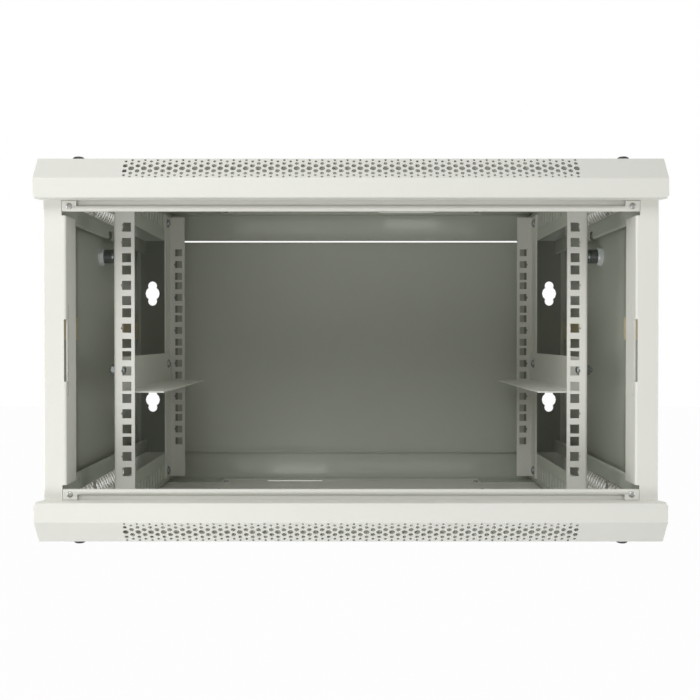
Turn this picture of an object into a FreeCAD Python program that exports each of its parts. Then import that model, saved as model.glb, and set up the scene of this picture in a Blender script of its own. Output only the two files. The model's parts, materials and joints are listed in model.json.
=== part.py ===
import FreeCAD, Part
import math
import os

# Wall mount network cabinet for 19 inch equipment, seen with its door taken off.
# Millimetres. The origin is the middle of the wall face, +Z is up and the front faces -Y.

V = FreeCAD.Vector

# Overall sizes
rack_units = 6
unit_height = 44.45
head_height = 50.65
cabinet_width = 600.0
cabinet_depth = 450.0
sheet = 1.2
bend = 1.0

# Top and bottom covers
skirt_height = 40.1
skirt_rise = 2.5
cover_face_height = 18.8
chamfer_depth = 16.5
cover_lip = 15.9
lip_mitre = 5.0
vent_diameter = 5.6
vent_pitch = 12.1
vent_margin = 81.0
small_round_sides = 6

# Front frame, its places measured back from the front of the covers
frame_setback = 16.0
upright_side_gap = 4.25
upright_face = 22.35
upright_flange = 35.0
upright_return = 10.0
upright_overlap = 16.0
door_notch_height = 60.0
door_notch_depth = 2.1
door_notch_flange = 5.0
latch_slot_length = 88.0
latch_slot_width = 2.2
latch_slot_setback = 7.0
corner_slit = 3.9
corner_slit_depth = 4.0
crossbar_strip = 5.3
crossbar_web = 4.5
crossbar_flange = 19.0
ear_width = 13.8
ear_gap = 0.4
crossbar_end_gap = 16.0

# Rack rails, to the 19 inch standard
hole_columns = 465.1
square_hole = 9.5
unit_holes = [6.35, 22.225, 38.1]
key_notch_depth = 1.7
key_notch_base = 4.0
rail_sheet = 2.0
rail_inner_edge = 8.2
rail_outer_edge = 13.4
rail_flange = 32.0
rail_overhang = 41.05
rail_bolt_setback = 20.0
rail_bolt_below_top = 19.5
support_bolt_setback = 26.0
front_rail_setback = 95.0
rear_rail_room = 34.0

# Side beams that carry the rails
beam_gap = 7.15
beam_lip = 5.0
beam_flange = 10.0
slot_pitch = 17.5
slot_height = 19.0
slot_width = 6.5
slot_margin = 12.0

# Outer side rails that carry the side panels
side_rail_inset = 17.6
side_rail_drop = 5.55
side_rail_lip = 3.0
side_rail_reach = 11.0
side_rail_edge = 12.65
hook_slot_height = 6.0
hook_slot_width = 2.6
hook_slot_setback = 95.0
hook_slot_rise = 8.0
catch_width = 18.0
catch_height = 9.1

# Rear wall
wall_sheet = 1.5
wall_plate_width = 58.5
wall_plate_outer_gap = 0.3
rear_gap = 2.6
rear_strip_edge = 12.95
rear_flange = 48.0
rear_flange_relief = 36.0
panel_return = 6.0
keyhole_inset = 25.5
keyhole_spacing_z = 147.0
keyhole_middle = 19.5
keyhole_end = 12.5
keyhole_end_offset = 10.5
keyhole_sides = 12

# Support rails inside the bay
support_sheet = 1.5
support_top_z = -8.0
support_height = 38.0
support_width = 46.0
support_bolt_z = -22.0
support_front_gap = 21.0

# Side panels
panel_sheet = 1.0
panel_side_gap = 4.0
panel_return_depth = 11.5
panel_edge_return = 6.0
panel_front_gap = 2.0
panel_rear_gap = 1.5
panel_bottom_gap = 0.3
panel_top_gap = 2.2
clip_bottom_z = 10.0
clip_height = 24.0
front_clip_length = 91.0
rear_clip_length = 110.0
clip_sheet = 1.2
clip_tip = 10.0
clip_lift = 4.0
clip_edge_gap = 1.0

# Side panel locks
lock_setback = 239.0
lock_z = 108.0
lock_barrel_radius = 8.2
lock_bore_radius = 6.25
lock_head_radius = 10.5
lock_head_height = 2.0
lock_barrel_reach = 16.7
lock_nut_flats = 20.0
lock_nut_height = 5.5
lock_fit = 0.05
lock_stub_radius = 4.0
key_slot_width = 1.4
key_slot_length = 7.0
key_slot_depth = 5.0
cam_sheet = 2.0
cam_width = 14.0
cam_tail = 7.0
cam_length = 36.0
cam_joggle = 4.0
cam_joggle_start = 13.0
cam_joggle_end = 19.0
cam_gap = 0.3
cam_screw_radius = 5.5
cam_screw_height = 2.0

# Cable entries in the covers
entry_width = 320.0
entry_depth = 80.0
entry_wall_gap = 30.0
entry_slit = 6.0
entry_notch_start = 39.0
entry_notch_width = 75.0
entry_notch_depth = 10.0
entry_plate_overlap = 15.0
entry_plate_lap = 8.0

# Fasteners
cover_screw_inset = 36.0
cover_screw_front = 29.0
cover_screw_rear = 35.0
cover_screw_radius = 3.0
cover_screw_head = 6.0
cover_screw_height = 4.6
cover_screw_length = 10.0
bolt_radius = 3.0
bolt_head = 5.0
bolt_head_height = 3.2
bolt_hole_gap = 0.1
nut_flats = 10.0
nut_height = 5.0
rail_bolt_length = 11.0
support_bolt_length = 14.0
rivet_radius = 1.6
rivet_head = 3.0
rivet_height = 1.2
rivet_length = 3.0
plate_screw_head = 3.2
plate_screw_height = 1.8
plate_screw_inset = 7.0

# Derived places
bay_half = rack_units * unit_height / 2
half_height = bay_half + head_height
half_width = cabinet_width / 2
front_y = -cabinet_depth
skirt_edge_z = half_height - skirt_height
cover_under_z = half_height - sheet
frame_y = front_y + frame_setback
crossbar_wall_y = frame_y + crossbar_web
crossbar_end_x = half_width - crossbar_end_gap
upright_outer_x = half_width - upright_side_gap
upright_inner_x = upright_outer_x - upright_face
wall_front_y = -wall_sheet
wall_plate_outer_x = half_width - sheet - wall_plate_outer_gap
wall_plate_inner_x = wall_plate_outer_x - wall_plate_width
keyhole_x = half_width - keyhole_inset
column_x = hole_columns / 2
rail_outer_x = column_x + rail_outer_edge
rail_inner_x = column_x - rail_inner_edge
rail_half = bay_half + rail_overhang
front_rail_y = front_y + front_rail_setback
front_bolt_y = front_rail_y + rail_bolt_setback
rail_steps = math.floor((-rear_rail_room - rail_bolt_setback - front_bolt_y) / slot_pitch)
rear_bolt_y = front_bolt_y + rail_steps * slot_pitch
rear_rail_y = rear_bolt_y + rail_bolt_setback
beam_low_z = bay_half + beam_gap
beam_top_z = half_height - 2 * sheet
rail_bolt_z = half_height - rail_bolt_below_top
side_rail_inner_x = half_width - side_rail_inset
side_rail_low_z = bay_half - side_rail_drop
side_rail_top_z = bay_half + side_rail_edge
panel_outer_x = half_width - panel_side_gap
side_panel_inner_x = panel_outer_x - panel_sheet
panel_front_y = frame_y + upright_return + panel_front_gap
panel_rear_y = wall_front_y - panel_rear_gap
panel_bottom_z = -side_rail_top_z + sheet + panel_bottom_gap
panel_top_z = side_rail_top_z - sheet - panel_top_gap
rear_strip_z = bay_half + rear_strip_edge
lock_y = front_y + lock_setback
entry_rear_y = -entry_wall_gap
entry_front_y = entry_rear_y - entry_depth
cover_screw_x = half_width - cover_screw_inset
vent_columns = math.floor((cabinet_width - 2 * vent_margin) / vent_pitch)
bolt_hole_radius = bolt_radius + bolt_hole_gap


def across_x(x):
    """Place for a section drawn in Y and Z that starts at x."""
    return lambda u, v: V(x, u, v)


def along_y(y):
    """Place for a section drawn in X and Z that starts at y."""
    return lambda u, v: V(u, y, v)


def along_z(z):
    """Place for a section drawn in X and Y that starts at z."""
    return lambda u, v: V(u, v, z)


def box(x0, x1, y0, y1, z0, z1):
    """Block between two opposite corners."""
    return Part.makeBox(x1 - x0, y1 - y0, z1 - z0, V(x0, y0, z0))


def rounded_wire(points, radii, place):
    """Closed outline with each corner rounded by its own radius, where 0 is sharp."""
    corners = []
    for i, point in enumerate(points):
        here = V(point[0], point[1], 0)
        before = V(points[i - 1][0], points[i - 1][1], 0)
        after = V(points[(i + 1) % len(points)][0], points[(i + 1) % len(points)][1], 0)
        back = (before - here).normalize()
        ahead = (after - here).normalize()
        if radii[i] == 0:
            corners.append([here])
            continue
        half_angle = back.getAngle(ahead) / 2
        reach = radii[i] / math.tan(half_angle)
        inward = (back + ahead).normalize()
        middle = here + inward * (radii[i] / math.sin(half_angle) - radii[i])
        corners.append([here + back * reach, middle, here + ahead * reach])
    edges = []
    for i, corner in enumerate(corners):
        flat = [place(p.x, p.y) for p in corner]
        if len(flat) == 3:
            edges.append(Part.Arc(flat[0], flat[1], flat[2]).toShape())
        following = corners[(i + 1) % len(corners)][0]
        edges.append(Part.makeLine(flat[-1], place(following.x, following.y)))
    return Part.Wire(edges)


def folded_wire(path, thickness, place):
    """Section of a folded sheet whose thickness lies to the left of its path."""
    points = [V(u, v, 0) for u, v in path]
    turns = [(b - a).normalize() for a, b in zip(points, points[1:])]
    lefts = [V(-turn.y, turn.x, 0) for turn in turns]
    inner = [points[0] + lefts[0] * thickness]
    near = [0]
    far = [0]
    for i in range(1, len(points) - 1):
        mitre = (lefts[i - 1] + lefts[i]).normalize()
        inner.append(points[i] + mitre * (thickness / mitre.dot(lefts[i])))
        bends_left = turns[i - 1].cross(turns[i]).z > 0
        near.append(bend + thickness if bends_left else bend)
        far.append(bend if bends_left else bend + thickness)
    inner.append(points[-1] + lefts[-1] * thickness)
    outline = [(p.x, p.y) for p in points + inner[::-1]]
    return rounded_wire(outline, near + [0] + [0] + far[::-1], place)


def extruded(wire, travel):
    """Solid between an outline and its copy moved by travel."""
    return Part.Face(wire).extrude(travel)


def mirror_x(shape):
    """Copy on the other side of the cabinet."""
    return shape.mirror(V(0, 0, 0), V(1, 0, 0))


def mirror_z(shape):
    """Copy on the other end of the cabinet, top to bottom."""
    return shape.mirror(V(0, 0, 0), V(0, 0, 1))


def turned_over(shape):
    """Copy turned half round about the depth of the cabinet."""
    copy = shape.copy()
    copy.rotate(V(0, 0, 0), V(0, 1, 0), 180)
    return copy


def prism(flats, height, start, axis):
    """Hexagonal nut blank."""
    radius = flats / math.sqrt(3)
    corner = V(0, 0, 1).cross(axis).normalize() * radius
    points = []
    for i in range(6):
        spin = FreeCAD.Rotation(axis, 60 * i)
        points.append(start + spin.multVec(corner))
    return extruded(Part.makePolygon(points + [points[0]]), axis * height)


def small_round(radius, length, start, axis, sides=small_round_sides):
    """Many sided rod that stands for a small round one, such as a shank or its hole."""
    side = V(0, 0, 1) if abs(axis.z) < 0.5 else V(1, 0, 0)
    points = []
    for i in range(sides):
        spin = FreeCAD.Rotation(axis, 360 / sides * i)
        points.append(start + spin.multVec(side * radius))
    return extruded(Part.makePolygon(points + [points[0]]), axis * length)


def screw(start, axis, radius, length, head_radius, head_height):
    """Screw with a plain head: start is under the head and axis points to the tip."""
    head = small_round(head_radius, head_height, start - axis * head_height, axis)
    return head.fuse(small_round(radius, length, start, axis))


def hex_nut(start, axis):
    """Nut on a rail or support bolt."""
    blank = prism(nut_flats, nut_height, start, axis)
    return blank.cut(small_round(bolt_hole_radius, nut_height, start, axis))


def x_hole(radius, x0, x1, y, z):
    """Round cutter along X."""
    return Part.makeCylinder(radius, x1 - x0, V(x0, y, z), V(1, 0, 0))


def bolt_hole(x0, x1, y, z):
    """Cutter along X for a bolt."""
    return small_round(bolt_hole_radius, x1 - x0, V(x0, y, z), V(1, 0, 0))


def cover_screw_holes(z0, z1):
    """Cutters along Z for the four screws through a cover."""
    radius = cover_screw_radius + bolt_hole_gap
    return [small_round(radius, z1 - z0, V(x, y, z0), V(0, 0, 1)) for x, y in cover_screw_places()]


def vent_cutters():
    """Row of holes along the middle of the chamfer of a cover."""
    low = V(0, front_y, skirt_edge_z + cover_face_height)
    high = V(0, front_y + chamfer_depth, half_height)
    normal = V(1, 0, 0).cross(high - low).normalize()
    depth = 4 * sheet
    first = (low + high) * 0.5 - normal * (depth / 2) + V(vent_pitch / 4, 0, 0)
    cutters = []
    for column in range(vent_columns):
        x = (column - (vent_columns - 1) / 2) * vent_pitch
        cutters.append(small_round(vent_diameter / 2, depth, first + V(x, 0, 0), normal))
    return cutters


def cover_screw_places():
    """X and Y of the four screws through each cover."""
    ys = [front_y + cover_screw_front, -cover_screw_rear]
    return [(x, y) for x in (-cover_screw_x, cover_screw_x) for y in ys]


def entry_plate_box():
    """Left, right, front and rear edges of the plate over a cable entry."""
    half = entry_width / 2 + entry_plate_overlap
    return -half, half, entry_front_y - entry_plate_lap, entry_rear_y - entry_slit


def plate_screw_places():
    """X and Y of the four screws of a cable entry plate."""
    left, right, front, rear = entry_plate_box()
    xs = (left + plate_screw_inset, right - plate_screw_inset)
    ys = (front + plate_screw_inset / 2, rear - plate_screw_inset)
    return [(x, y) for x in xs for y in ys]


def top_cover():
    """Folded cover with a chamfered, vented front and two side skirts."""
    face_top_z = skirt_edge_z + cover_face_height
    path = [
        (front_y + cover_lip, skirt_edge_z),
        (front_y, skirt_edge_z),
        (front_y, face_top_z),
        (front_y + chamfer_depth, half_height),
        (0, half_height),
    ]
    left = -half_width + sheet
    right = half_width - sheet
    body = extruded(folded_wire(path[::-1], sheet, across_x(left)), V(right - left, 0, 0))
    body = body.cut(vent_cutters())
    skirt_low_z = skirt_edge_z + skirt_rise
    skirt_points = [(front_y, skirt_low_z)] + path[2:] + [(0, skirt_low_z)]
    skirt_radii = [0] + [bend + sheet] * 2 + [0, 0]
    for x in (-half_width, right):
        skirt = extruded(rounded_wire(skirt_points, skirt_radii, across_x(x)), V(sheet, 0, 0))
        body = body.fuse(skirt)
    low_z = cover_under_z - sheet
    high_z = half_height + sheet
    cutters = cover_screw_holes(low_z, high_z)
    half_entry = entry_width / 2
    cutters.append(box(-half_entry, half_entry, entry_front_y, entry_rear_y, low_z, high_z))
    cutters.append(box(entry_notch_start, entry_notch_start + entry_notch_width,
                       entry_rear_y - 1, entry_rear_y + entry_notch_depth, low_z, high_z))
    cutters.append(lip_mitre_cutter())
    cutters.append(mirror_x(lip_mitre_cutter()))
    return body.cut(cutters).removeSplitter()


def lip_mitre_cutter():
    """Wedge that takes off the left corner of the lip under the front of the top cover."""
    start_y = front_y + bend + sheet
    end_y = front_y + cover_lip + 1
    outer_x = -half_width - 1
    low_z = skirt_edge_z - 1
    corners = [
        V(outer_x, start_y, low_z),
        V(-half_width, start_y, low_z),
        V(-half_width + lip_mitre, end_y, low_z),
        V(outer_x, end_y, low_z),
    ]
    return extruded(Part.makePolygon(corners + [corners[0]]), V(0, 0, 1 + skirt_rise))


def cable_plate():
    """Plate inside the top cover over its cable entry."""
    left, right, front, rear = entry_plate_box()
    return box(left, right, front, rear, cover_under_z - sheet, cover_under_z)


def front_upright():
    """Left upright of the front frame, a channel open to the rear."""
    path = [
        (-upright_inner_x, frame_y + upright_flange),
        (-upright_inner_x, frame_y),
        (-upright_outer_x, frame_y),
        (-upright_outer_x, frame_y + upright_return),
    ]
    half = skirt_edge_z + upright_overlap
    body = extruded(folded_wire(path[::-1], sheet, along_z(-half)), V(0, 0, 2 * half))
    slit_x = -upright_inner_x - corner_slit_depth
    notch_x = -upright_inner_x - door_notch_depth
    slot_y = frame_y + latch_slot_setback
    past_x = -upright_inner_x + 1
    far_y = frame_y + upright_flange + 1
    cutters = [
        box(notch_x, past_x, frame_y - 1, frame_y + door_notch_flange,
            -door_notch_height / 2, door_notch_height / 2),
        box(-upright_inner_x - 2 * sheet, past_x, slot_y, slot_y + latch_slot_width,
            -latch_slot_length / 2, latch_slot_length / 2),
    ]
    slit_low_z = bay_half - corner_slit
    for low_z, high_z in ((slit_low_z, half + 1), (-half - 1, -slit_low_z)):
        cutters.append(box(slit_x, past_x, frame_y - 1, far_y, low_z, high_z))
    return body.cut(cutters)


def front_crossbar():
    """Top crossbar of the front frame with an ear at each end."""
    path = [
        (frame_y, bay_half + crossbar_strip),
        (frame_y, bay_half),
        (crossbar_wall_y, bay_half),
        (crossbar_wall_y, beam_top_z),
        (crossbar_wall_y + crossbar_flange, beam_top_z),
    ]
    end_x = crossbar_end_x
    body = extruded(folded_wire(path, sheet, across_x(-end_x)), V(2 * end_x, 0, 0))
    strip_x = upright_inner_x + corner_slit_depth - ear_gap
    strip_rear_y = crossbar_wall_y - sheet - bend
    cutters = []
    for x0, x1 in ((-end_x - 1, -strip_x), (strip_x, end_x + 1)):
        cutters.append(box(x0, x1, frame_y - 1, strip_rear_y, bay_half - 1, skirt_edge_z))
    cutters += cover_screw_holes(beam_top_z - 1, half_height)
    body = body.cut(cutters)
    ear_top = skirt_edge_z - ear_gap
    ear_low = bay_half + crossbar_strip
    for x0, x1 in ((-strip_x, -strip_x + ear_width), (strip_x - ear_width, strip_x)):
        body = body.fuse(box(x0, x1, frame_y, frame_y + sheet, ear_low, ear_top))
    holes = [
        small_round(rivet_radius + bolt_hole_gap, 3 * sheet, V(x, frame_y - sheet, z), V(0, 1, 0))
        for x, z in rivet_places() if z > 0
    ]
    return body.cut(holes).removeSplitter()


def rivet_places():
    """X and Z of the rivets in the crossbar ears."""
    x = upright_inner_x + corner_slit_depth - ear_gap - ear_width / 2
    z = (bay_half + skirt_edge_z - ear_gap) / 2
    return [(side_x, side_z) for side_x in (-x, x) for side_z in (-z, z)]


def slot_places(start_y, end_y):
    """Y of each slot in a side beam, in step with the rail bolts."""
    before = math.floor((front_bolt_y - start_y - slot_margin) / slot_pitch)
    after = math.floor((end_y - slot_margin - front_bolt_y) / slot_pitch)
    return [front_bolt_y + i * slot_pitch for i in range(-before, after + 1)]


def side_beam():
    """Top left beam with a row of slots for the rail bolts."""
    path = [
        (-rail_outer_x - beam_lip, beam_low_z),
        (-rail_outer_x, beam_low_z),
        (-rail_outer_x, beam_top_z),
        (-rail_outer_x - beam_flange, beam_top_z),
    ]
    start_y = crossbar_wall_y + bend
    end_y = wall_front_y - bend
    body = extruded(folded_wire(path, sheet, along_y(start_y)), V(0, end_y - start_y, 0))
    cutters = []
    for y in slot_places(start_y, end_y):
        cutters.append(box(-rail_outer_x - 2 * sheet, -rail_outer_x + sheet,
                           y - slot_width / 2, y + slot_width / 2,
                           rail_bolt_z - slot_height / 2, rail_bolt_z + slot_height / 2))
    return body.cut(cutters)


def side_rail(catch):
    """Top left outer rail, a small channel open to the outside, with or without a notch at the lock."""
    path = [
        (-side_rail_inner_x - side_rail_lip, side_rail_low_z),
        (-side_rail_inner_x, side_rail_low_z),
        (-side_rail_inner_x, side_rail_top_z),
        (-side_rail_inner_x - side_rail_reach, side_rail_top_z),
    ]
    wire = folded_wire(path, sheet, along_y(crossbar_wall_y))
    body = extruded(wire, V(0, wall_front_y - crossbar_wall_y, 0))
    slot_z = side_rail_low_z + hook_slot_rise
    cutters = []
    for y in (front_y + hook_slot_setback, -hook_slot_setback):
        cutters.append(box(-side_rail_inner_x - 2 * sheet, -side_rail_inner_x + sheet,
                           y - hook_slot_width / 2, y + hook_slot_width / 2,
                           slot_z - hook_slot_height / 2, slot_z + hook_slot_height / 2))
    if catch:
        cutters.append(box(-side_rail_inner_x - side_rail_lip - 1, -side_rail_inner_x + 1,
                           lock_y - catch_width / 2, lock_y + catch_width / 2,
                           side_rail_low_z - 1, side_rail_low_z + catch_height))
    return body.cut(cutters)


def wall_plate():
    """Left plate of the rear wall with two keyholes."""
    plate = box(-wall_plate_outer_x, -wall_plate_inner_x, wall_front_y, 0, -rear_strip_z, rear_strip_z)
    cutters = []
    for z in (-keyhole_spacing_z / 2, keyhole_spacing_z / 2):
        for offset, diameter in ((0, keyhole_middle), (keyhole_end_offset, keyhole_end),
                                 (-keyhole_end_offset, keyhole_end)):
            start = V(-keyhole_x, wall_front_y - 1, z + offset)
            cutters.append(small_round(diameter / 2, wall_sheet + 2, start, V(0, 1, 0), keyhole_sides))
    keyholes = cutters[0].multiFuse(cutters[1:])
    return plate.cut(keyholes)


def rear_strip():
    """Strip of the rear wall above the panel, folded forward under the cover."""
    outer_x = wall_plate_outer_x
    path = [(0, rear_strip_z), (0, cover_under_z), (-rear_flange, cover_under_z)]
    wire = folded_wire(path, sheet, across_x(-outer_x))
    body = extruded(wire, V(2 * outer_x, 0, 0))
    thicken = box(-outer_x, outer_x, wall_front_y, -sheet / 2, rear_strip_z, cover_under_z - 2 * sheet)
    cutters = cover_screw_holes(beam_top_z - 1, half_height)
    left, right, front, rear = entry_plate_box()
    cutters.append(box(left - ear_gap, right + ear_gap, -rear_flange - 1, -rear_flange + rear_flange_relief,
                       beam_top_z - 1, half_height))
    return body.fuse(thicken).cut(cutters).removeSplitter()


def rear_panel():
    """Plain panel between the wall plates, folded forward at its top and bottom."""
    edge_z = rear_strip_z - rear_gap
    path = [(-panel_return, -edge_z), (0, -edge_z), (0, edge_z), (-panel_return, edge_z)]
    wire = folded_wire(path, sheet, across_x(-wall_plate_inner_x))
    return extruded(wire, V(2 * wall_plate_inner_x, 0, 0))


def square_hole_places():
    """Height of each square hole of a rail, and whether it is the middle one of its unit."""
    places = []
    for unit in range(rack_units):
        for index, offset in enumerate(unit_holes):
            places.append((-bay_half + unit * unit_height + offset, index == 1))
    return places


def front_rack_rail():
    """Front left rack rail with square holes at the standard spacing."""
    path = [
        (-rail_outer_x, front_rail_y + rail_flange),
        (-rail_outer_x, front_rail_y),
        (-rail_inner_x, front_rail_y),
    ]
    wire = folded_wire(path, rail_sheet, along_z(-rail_half))
    body = extruded(wire, V(0, 0, 2 * rail_half))
    near_y = front_rail_y - rail_sheet
    far_y = front_rail_y + 2 * rail_sheet
    half = square_hole / 2
    cutters = []
    for z, is_middle in square_hole_places():
        cutters.append(box(-column_x - half, -column_x + half, near_y, far_y, z - half, z + half))
        if is_middle:
            edge = -column_x - half
            corners = [
                V(edge, near_y, z - key_notch_base / 2),
                V(edge, near_y, z + key_notch_base / 2),
                V(edge - key_notch_depth, near_y, z),
            ]
            notch = Part.makePolygon(corners + [corners[0]])
            cutters.append(extruded(notch, V(0, far_y - near_y, 0)))
    hole_start = -rail_outer_x - rail_sheet
    hole_end = -rail_outer_x + 2 * rail_sheet
    for z in (-rail_bolt_z, rail_bolt_z):
        cutters.append(bolt_hole(hole_start, hole_end, front_bolt_y, z))
    support_y = front_rail_y + support_bolt_setback
    cutters.append(bolt_hole(hole_start, hole_end, support_y, support_bolt_z))
    return body.cut(cutters)


def rear_rack_rail():
    """Rear left rack rail, the front one turned back to front."""
    middle_y = (front_rail_y + rear_rail_y) / 2
    return front_rack_rail().mirror(V(0, middle_y, 0), V(0, 1, 0))


def support_bolt_places():
    """Y of the bolts that hold a support rail."""
    return [front_rail_y + support_bolt_setback, rear_rail_y - support_bolt_setback]


def support_rail():
    """Left support rail, an angle that equipment rests on."""
    web_x = -rail_outer_x + rail_sheet
    low_z = support_top_z - support_height
    path = [(web_x, support_top_z), (web_x, low_z), (web_x + support_width, low_z)]
    start_y = front_rail_y + support_front_gap
    length = rear_rail_y - rail_sheet - bend - start_y
    body = extruded(folded_wire(path, support_sheet, along_y(start_y)), V(0, length, 0))
    holes = [
        bolt_hole(web_x - 1, web_x + 2 * support_sheet, y, support_bolt_z)
        for y in support_bolt_places()
    ]
    return body.cut(holes)


def side_panel():
    """Left side panel, a shallow pan that tilts out on its lower edge."""
    width = panel_rear_y - panel_front_y
    path = [
        (-panel_outer_x + panel_return_depth, panel_bottom_z),
        (-panel_outer_x, panel_bottom_z),
        (-panel_outer_x, panel_top_z),
        (-panel_outer_x + panel_return_depth, panel_top_z),
    ]
    body = extruded(folded_wire(path[::-1], panel_sheet, along_y(panel_front_y)), V(0, width, 0))
    edge_x = -panel_outer_x + panel_edge_return
    low_z = panel_bottom_z + panel_sheet
    high_z = panel_top_z - panel_sheet
    for y in (panel_front_y, panel_rear_y - panel_sheet):
        body = body.fuse(box(-side_panel_inner_x, edge_x, y, y + panel_sheet, low_z, high_z))
    hole = x_hole(lock_barrel_radius + lock_fit, -panel_outer_x - 1, -side_panel_inner_x + 1, lock_y, lock_z)
    return body.cut(hole).removeSplitter()


def panel_clips():
    """Two flat springs on the inner face of the left side panel."""
    top_z = clip_bottom_z + clip_height
    face_x = -side_panel_inner_x
    solids = []
    front_edge_y = panel_front_y + panel_sheet + clip_edge_gap
    rear_edge_y = panel_rear_y - panel_sheet - clip_edge_gap
    for edge_y, inward, length in ((front_edge_y, 1, front_clip_length), (rear_edge_y, -1, rear_clip_length)):
        path = [
            (face_x, edge_y),
            (face_x, edge_y + inward * (length - clip_tip)),
            (face_x + clip_lift, edge_y + inward * length),
        ]
        if inward > 0:
            path = path[::-1]
        wire = folded_wire(path, clip_sheet, along_z(clip_bottom_z))
        solids.append(extruded(wire, V(0, 0, top_z - clip_bottom_z)))
    return Part.Compound(solids)


def lock_barrel():
    """Barrel of the left lock with its head outside the panel."""
    end_x = -side_panel_inner_x + lock_barrel_reach
    axis = V(1, 0, 0)
    head_x = -panel_outer_x - lock_head_height
    head = Part.makeCylinder(lock_head_radius, lock_head_height, V(head_x, lock_y, lock_z), axis)
    length = end_x + panel_outer_x
    body = Part.makeCylinder(lock_barrel_radius, length, V(-panel_outer_x, lock_y, lock_z), axis)
    bore = x_hole(lock_bore_radius, head_x - 1, end_x + 1, lock_y, lock_z)
    return head.fuse(body).cut(bore).removeSplitter()


def lock_nut():
    """Nut that clamps the left lock to its panel."""
    start = V(-side_panel_inner_x, lock_y, lock_z)
    blank = prism(lock_nut_flats, lock_nut_height, start, V(1, 0, 0))
    hole = x_hole(lock_barrel_radius + lock_fit, start.x - 1, start.x + lock_nut_height + 1, lock_y, lock_z)
    return blank.cut(hole)


def cam_face_x():
    """Outer face of the cam at the end of the left lock's barrel."""
    return -side_panel_inner_x + lock_barrel_reach + cam_gap


def lock_plug():
    """Turning core of the left lock with a key slot and a stub for the cam."""
    axis = V(1, 0, 0)
    start_x = -panel_outer_x - lock_head_height
    core_length = cam_face_x() - start_x
    core = Part.makeCylinder(lock_bore_radius - lock_fit, core_length, V(start_x, lock_y, lock_z), axis)
    stub = Part.makeCylinder(lock_stub_radius, cam_sheet, V(cam_face_x(), lock_y, lock_z), axis)
    slot = box(start_x - 1, start_x + key_slot_depth, lock_y - key_slot_width / 2,
               lock_y + key_slot_width / 2, lock_z - key_slot_length / 2, lock_z + key_slot_length / 2)
    return core.fuse(stub).cut(slot)


def lock_cam():
    """Cam of the left lock, turned to the rear so that the panel is free."""
    face_x = cam_face_x()
    path = [
        (face_x - cam_joggle, lock_y + cam_length),
        (face_x - cam_joggle, lock_y + cam_joggle_end),
        (face_x, lock_y + cam_joggle_start),
        (face_x, lock_y - cam_tail),
    ]
    wire = folded_wire(path, cam_sheet, along_z(lock_z - cam_width / 2))
    body = extruded(wire, V(0, 0, cam_width))
    return body.cut(x_hole(lock_stub_radius + lock_fit, face_x - 1, face_x + cam_sheet + 1, lock_y, lock_z))


def cam_screw():
    """Screw head that keeps the cam on its stub."""
    start = V(cam_face_x() + cam_sheet, lock_y, lock_z)
    return Part.makeCylinder(cam_screw_radius, cam_screw_height, start, V(1, 0, 0))


def cover_screws():
    """Screws of the top cover, each with its head on the outside."""
    screws = [
        screw(V(x, y, half_height), V(0, 0, -1), cover_screw_radius, cover_screw_length,
              cover_screw_head, cover_screw_height)
        for x, y in cover_screw_places()
    ]
    return Part.Compound(screws)


def cable_plate_screws():
    """Screws of the top cable entry plate, each with its head on the inside."""
    low_z = cover_under_z - sheet - plate_screw_height
    screws = [
        small_round(plate_screw_head, plate_screw_height, V(x, y, low_z), V(0, 0, 1))
        for x, y in plate_screw_places()
    ]
    return Part.Compound(screws)


def rail_bolt_places():
    """Y and Z of the bolts that hold the left rack rails to the side beams."""
    return [(y, z) for y in (front_bolt_y, rear_bolt_y) for z in (-rail_bolt_z, rail_bolt_z)]


def both_sides(solids):
    """Group of the given solids and their copies on the other side."""
    return Part.Compound(solids + [mirror_x(solid) for solid in solids])


def rail_bolts():
    """Bolts of the four rack rails, heads towards the bay."""
    head_x = -rail_outer_x + rail_sheet
    return both_sides([
        screw(V(head_x, y, z), V(-1, 0, 0), bolt_radius, rail_bolt_length, bolt_head, bolt_head_height)
        for y, z in rail_bolt_places()
    ])


def rail_nuts():
    """Nuts behind the side beams on the rail bolts."""
    seat_x = -rail_outer_x - sheet
    return both_sides([hex_nut(V(seat_x, y, z), V(-1, 0, 0)) for y, z in rail_bolt_places()])


def support_bolts():
    """Bolts of the support rails, heads towards the bay."""
    head_x = -rail_outer_x + rail_sheet + support_sheet
    return both_sides([
        screw(V(head_x, y, support_bolt_z), V(-1, 0, 0), bolt_radius, support_bolt_length,
              bolt_head, bolt_head_height)
        for y in support_bolt_places()
    ])


def support_nuts():
    """Nuts on the outer side of the rack rails on the support bolts."""
    return both_sides([
        hex_nut(V(-rail_outer_x, y, support_bolt_z), V(-1, 0, 0))
        for y in support_bolt_places()
    ])


def frame_rivets():
    """Rivets that close the four corners of the front frame."""
    return Part.Compound([
        screw(V(x, frame_y, z), V(0, 1, 0), rivet_radius, rivet_length, rivet_head, rivet_height)
        for x, z in rivet_places()
    ])


def left_and_right(name, shape):
    """A left piece and its mirror image."""
    return {name + "_left": shape, name + "_right": mirror_x(shape)}


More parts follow.
